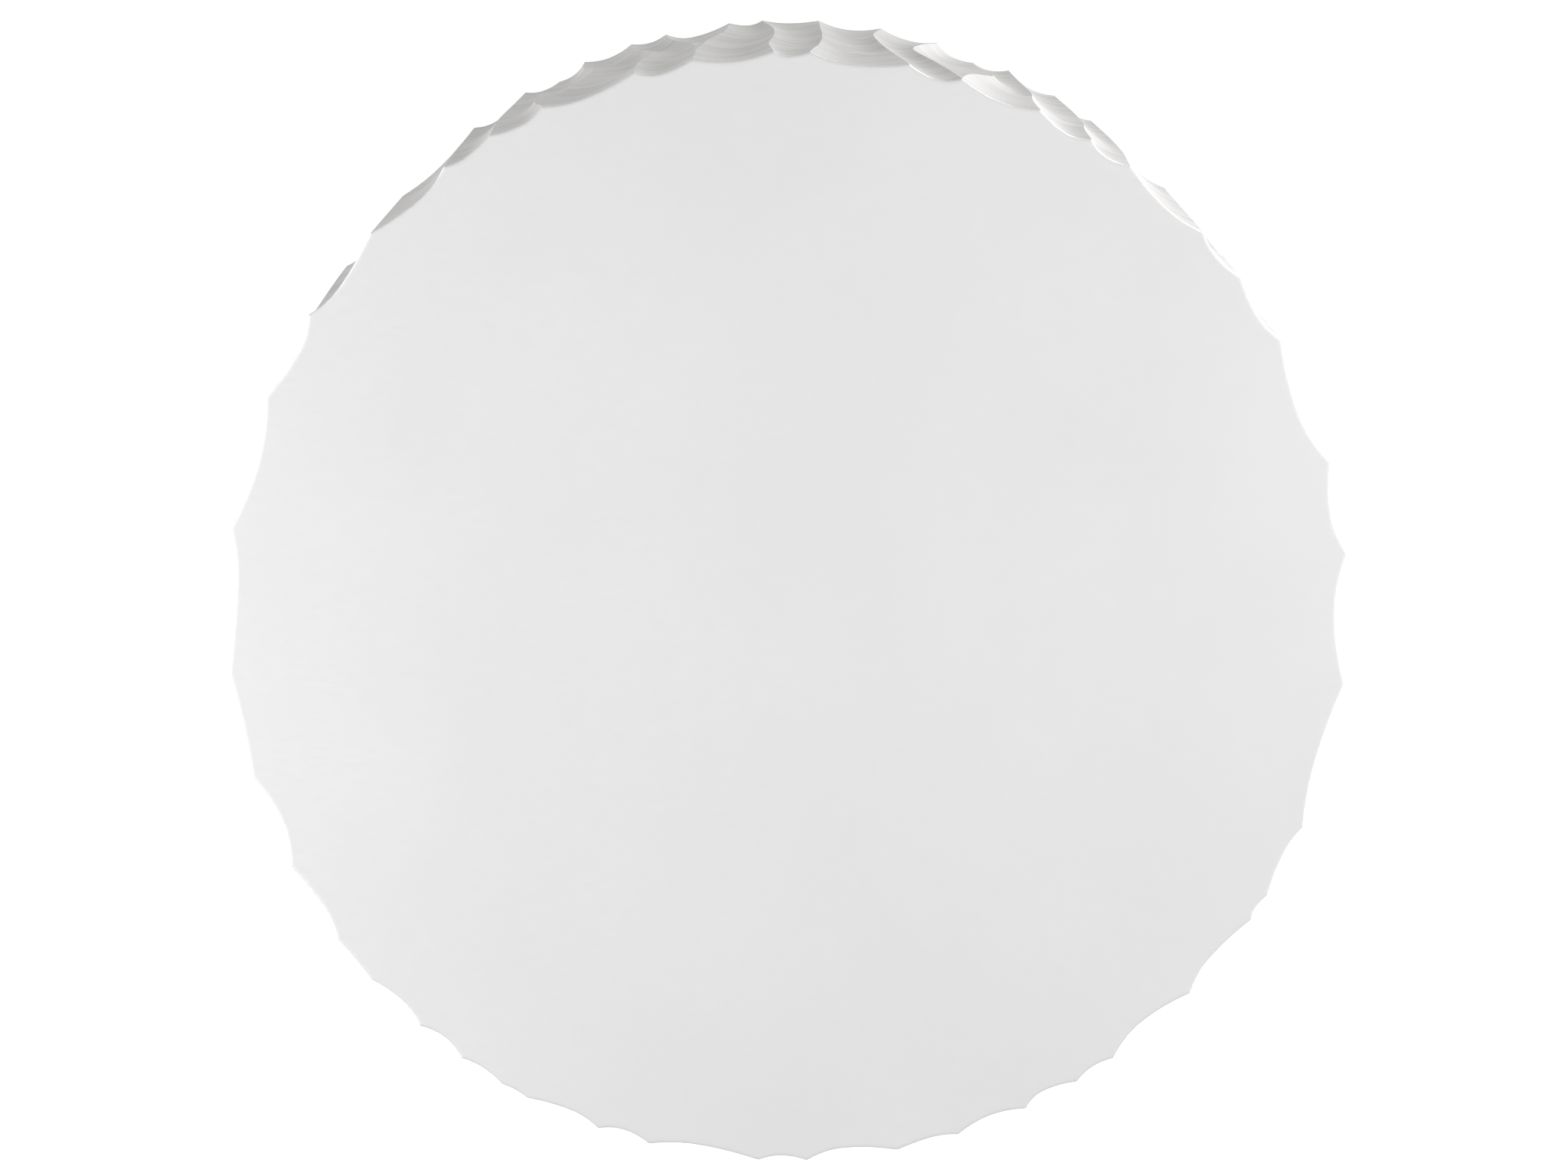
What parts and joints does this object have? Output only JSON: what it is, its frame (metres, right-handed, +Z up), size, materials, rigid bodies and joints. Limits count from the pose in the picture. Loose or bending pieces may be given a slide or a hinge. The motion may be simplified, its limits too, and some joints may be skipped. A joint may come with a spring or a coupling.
{
  "type": "drum coffee table",
  "caption": "Low round drum table in cast aluminium, side wall carved all over in upright gouged scoops, flat satin top, open underneath, on screw-adjustable levelling feet.",
  "frame": {"origin": "on the floor under the middle of the drum, feet screwed right in", "axes": "+Z up along the drum's axis; +Y towards the side that the picture shows at its top"},
  "size_m": [0.6988, 0.6998, 0.38],
  "materials": {
    "polished_aluminium": "polished, finely brushed scoops",
    "satin_aluminium": "satin, very fine mottle",
    "zinc_plated_steel": "zinc plated",
    "black_nylon": "moulded nylon",
    "sole_rubber": "matte"
  },
  "bodies": {
    "drum": {"wall_casting": "polished_aluminium", "top_plate": "satin_aluminium", "top_screw_1": "zinc_plated_steel", "top_screw_2": "zinc_plated_steel", "top_screw_3": "zinc_plated_steel", "top_screw_4": "zinc_plated_steel", "top_screw_5": "zinc_plated_steel", "top_screw_6": "zinc_plated_steel", "top_screw_7": "zinc_plated_steel", "top_screw_8": "zinc_plated_steel", "top_washer_1": "zinc_plated_steel", "top_washer_2": "zinc_plated_steel", "top_washer_3": "zinc_plated_steel", "top_washer_4": "zinc_plated_steel", "top_washer_5": "zinc_plated_steel", "top_washer_6": "zinc_plated_steel", "top_washer_7": "zinc_plated_steel", "top_washer_8": "zinc_plated_steel", "foot_insert_1": "zinc_plated_steel", "foot_insert_2": "zinc_plated_steel", "foot_insert_3": "zinc_plated_steel", "foot_insert_4": "zinc_plated_steel", "foot_insert_5": "zinc_plated_steel"},
    "foot_1": {"foot_stem_1": "zinc_plated_steel", "foot_pad_1": "black_nylon", "foot_sole_1": "sole_rubber"},
    "foot_2": {"foot_stem_2": "zinc_plated_steel", "foot_pad_2": "black_nylon", "foot_sole_2": "sole_rubber"},
    "foot_3": {"foot_stem_3": "zinc_plated_steel", "foot_pad_3": "black_nylon", "foot_sole_3": "sole_rubber"},
    "foot_4": {"foot_stem_4": "zinc_plated_steel", "foot_pad_4": "black_nylon", "foot_sole_4": "sole_rubber"},
    "foot_5": {"foot_stem_5": "zinc_plated_steel", "foot_pad_5": "black_nylon", "foot_sole_5": "sole_rubber"}
  },
  "joints": [
    {"name": "foot_1_travel", "type": "slide", "parent": "drum", "child": "foot_1", "axis": [0, 0, -1], "range_m": [0, 0.012]},
    {"name": "foot_2_travel", "type": "slide", "parent": "drum", "child": "foot_2", "axis": [0, 0, -1], "range_m": [0, 0.012]},
    {"name": "foot_3_travel", "type": "slide", "parent": "drum", "child": "foot_3", "axis": [0, 0, -1], "range_m": [0, 0.012]},
    {"name": "foot_4_travel", "type": "slide", "parent": "drum", "child": "foot_4", "axis": [0, 0, -1], "range_m": [0, 0.012]},
    {"name": "foot_5_travel", "type": "slide", "parent": "drum", "child": "foot_5", "axis": [0, 0, -1], "range_m": [0, 0.012]}
  ]
}
